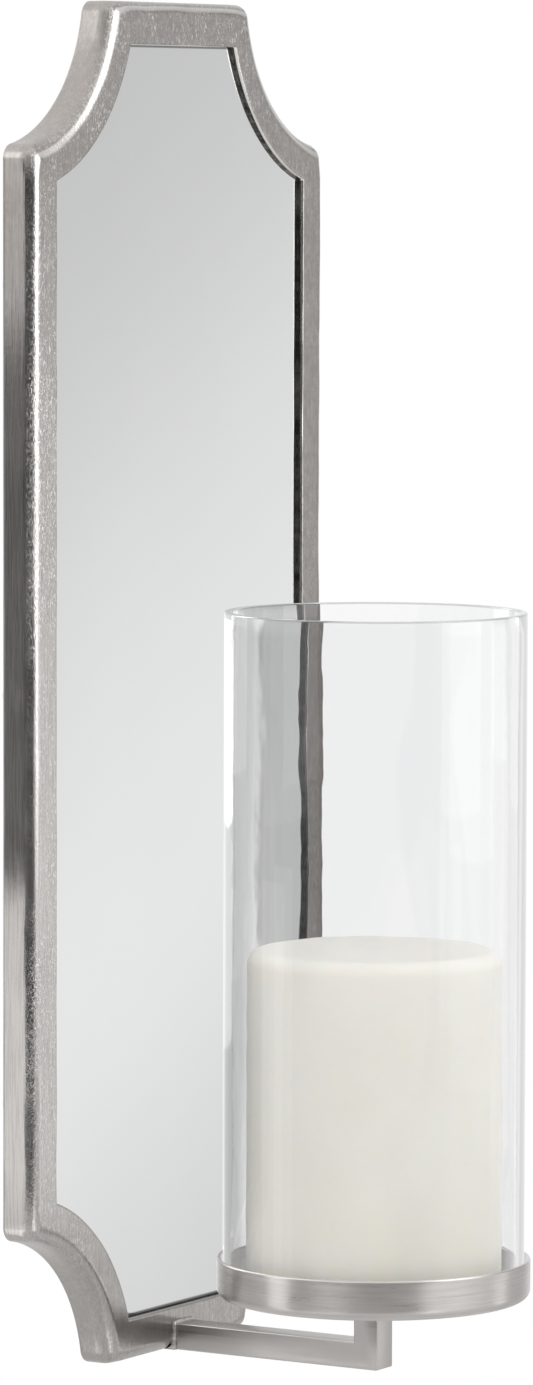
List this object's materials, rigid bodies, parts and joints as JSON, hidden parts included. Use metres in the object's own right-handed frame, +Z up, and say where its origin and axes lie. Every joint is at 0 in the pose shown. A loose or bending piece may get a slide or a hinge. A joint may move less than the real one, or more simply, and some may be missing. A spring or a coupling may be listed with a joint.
{
  "type": "mirrored wall sconce candle holder",
  "caption": "Tall scoop-cornered metal frame round a wall mirror, with an arm that carries a dished pan, a clear glass hurricane and a pillar candle.",
  "frame": {"origin": "centre of the keyhole that the sconce hangs by, on the wall's plane", "axes": "+Z up, +Y into the wall, -Y towards the room, X across the mirror"},
  "size_m": [0.165, 0.1263, 0.406],
  "materials": {
    "cast_nickel": "cast and satin nickel plated",
    "satin_steel": "satin brushed",
    "weld_metal": "ground weld, plated",
    "mirror_glass": "silvered glass",
    "liner_card": "grey-brown card",
    "backing_fibreboard": "black-faced fibreboard",
    "zinc_plate": "zinc plated",
    "felt": "pressed felt",
    "clear_glass": "clear, fire-polished rims",
    "ivory_wax": "smooth ivory wax",
    "cotton_wick": "braided cotton, waxed",
    "tin_plate": "stamped tinplate"
  },
  "bodies": {
    "root": {"frame": "cast_nickel", "mirror": "mirror_glass", "backing_liner": "liner_card", "backing_board": "backing_fibreboard", "retaining_clips": "zinc_plate", "clip_screws": "zinc_plate", "keyhole_plate": "zinc_plate", "keyhole_screws": "zinc_plate", "wall_pads": "felt", "arm": "satin_steel", "arm_weld": "weld_metal", "candle_pan": "satin_steel", "pan_screw": "zinc_plate"},
    "hurricane": {"hurricane_glass": "clear_glass"},
    "candle": {"candle_wax": "ivory_wax", "candle_wick": "cotton_wick", "wick_sustainer": "tin_plate"}
  },
  "joints": [
    {"name": "hurricane_lift", "type": "slide", "parent": "root", "child": "hurricane", "axis": [0, 0, 1], "range_m": [0, 0.12]},
    {"name": "candle_lift", "type": "slide", "parent": "root", "child": "candle", "axis": [0, 0, 1], "range_m": [0, 0.205]}
  ]
}
